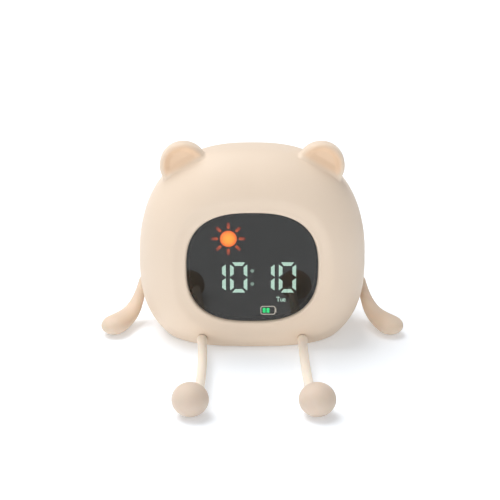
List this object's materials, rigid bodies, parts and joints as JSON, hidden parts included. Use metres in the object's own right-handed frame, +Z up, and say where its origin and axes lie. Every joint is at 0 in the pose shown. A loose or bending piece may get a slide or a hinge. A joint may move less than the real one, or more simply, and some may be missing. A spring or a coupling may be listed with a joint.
{
  "type": "sleep trainer clock",
  "caption": "Rounded bedside sleep trainer clock with ears, a tinted lit display, swivelling soft arms, bending soft legs with ball feet, and push buttons on its back.",
  "frame": {"origin": "on the floor, at the centre of the base pad", "axes": "+Z up, -Y out of the screen, +X to the right of someone who looks at the screen"},
  "size_m": [0.1622, 0.1562, 0.1053],
  "materials": {
    "housing": "soft-touch matte",
    "soft_limbs": "matte silicone",
    "tinted_lens": "polished dark tint",
    "black_plastic": "matte",
    "black_rubber": "adhesive foam",
    "mint_light": "lit translucent",
    "dark_light_pipe": "unlit translucent",
    "sun_light": "lit translucent",
    "charge_frame": "lit translucent",
    "charge_light": "lit translucent",
    "circuit_board": "solder mask",
    "white_plastic": "satin",
    "steel": "plain",
    "button_rubber": "matte",
    "cell_sleeve": "shrink sleeve",
    "wire_cover": "satin",
    "pad_rubber": "matte"
  },
  "bodies": {
    "housing": {"front_shell": "housing", "rear_shell": "housing", "left_leg_plug": "soft_limbs", "right_leg_plug": "soft_limbs", "screen_lens": "tinted_lens", "display_frame": "black_plastic", "board_chips": "black_plastic", "tact_switches": "black_plastic", "speaker_cone": "black_plastic", "battery_cradle": "black_plastic", "lens_gasket": "black_rubber", "lit_segments": "mint_light", "colon_dots": "mint_light", "unlit_marks": "dark_light_pipe", "sun_mark": "sun_light", "charge_outline": "charge_frame", "charge_cells": "charge_light", "display_board": "circuit_board", "main_board": "circuit_board", "display_leds": "white_plastic", "ribbon_cable": "white_plastic", "display_screws": "steel", "board_screws": "steel", "case_screws": "steel", "usb_socket": "steel", "speaker_frame": "steel", "speaker_magnet": "steel", "battery": "cell_sleeve", "battery_lead": "wire_cover", "speaker_lead": "wire_cover", "base_pad": "pad_rubber"},
    "left_arm": {"left_arm": "soft_limbs"},
    "right_arm": {"right_arm": "soft_limbs"},
    "left_leg": {"left_leg": "soft_limbs", "left_foot": "soft_limbs"},
    "right_leg": {"right_leg": "soft_limbs", "right_foot": "soft_limbs"},
    "set_button": {"set_button": "button_rubber", "set_plunger": "white_plastic"},
    "down_button": {"down_button": "button_rubber", "down_plunger": "white_plastic"},
    "up_button": {"up_button": "button_rubber", "up_plunger": "white_plastic"},
    "light_button": {"light_button": "button_rubber", "light_plunger": "white_plastic"}
  },
  "joints": [
    {"name": "left_arm_swivel", "type": "hinge", "parent": "housing", "child": "left_arm", "pos_m": [-0.05718, 0.017, 0.022], "axis": [-0.9461, 0.2583, -0.1956], "range_deg": [0, 150]},
    {"name": "right_arm_swivel", "type": "hinge", "parent": "housing", "child": "right_arm", "pos_m": [0.05718, 0.017, 0.022], "axis": [-0.943, -0.259, 0.209], "range_deg": [0, 150]},
    {"name": "left_leg_bend", "type": "hinge", "parent": "housing", "child": "left_leg", "pos_m": [-0.02639, -0.02792, 0.00558], "axis": [1, 0, 0], "range_deg": [-30, 70]},
    {"name": "right_leg_bend", "type": "hinge", "parent": "housing", "child": "right_leg", "pos_m": [0.02639, -0.02793, 0.00558], "axis": [1, 0, 0], "range_deg": [-30, 70]},
    {"name": "set_press", "type": "slide", "parent": "housing", "child": "set_button", "axis": [0, -1, 0], "range_m": [0, 0.0006], "stiffness_N_per_m": 300},
    {"name": "down_press", "type": "slide", "parent": "housing", "child": "down_button", "axis": [0, -1, 0], "range_m": [0, 0.0006], "stiffness_N_per_m": 300},
    {"name": "up_press", "type": "slide", "parent": "housing", "child": "up_button", "axis": [0, -1, 0], "range_m": [0, 0.0006], "stiffness_N_per_m": 300},
    {"name": "light_press", "type": "slide", "parent": "housing", "child": "light_button", "axis": [0, -1, 0], "range_m": [0, 0.0006], "stiffness_N_per_m": 300}
  ]
}
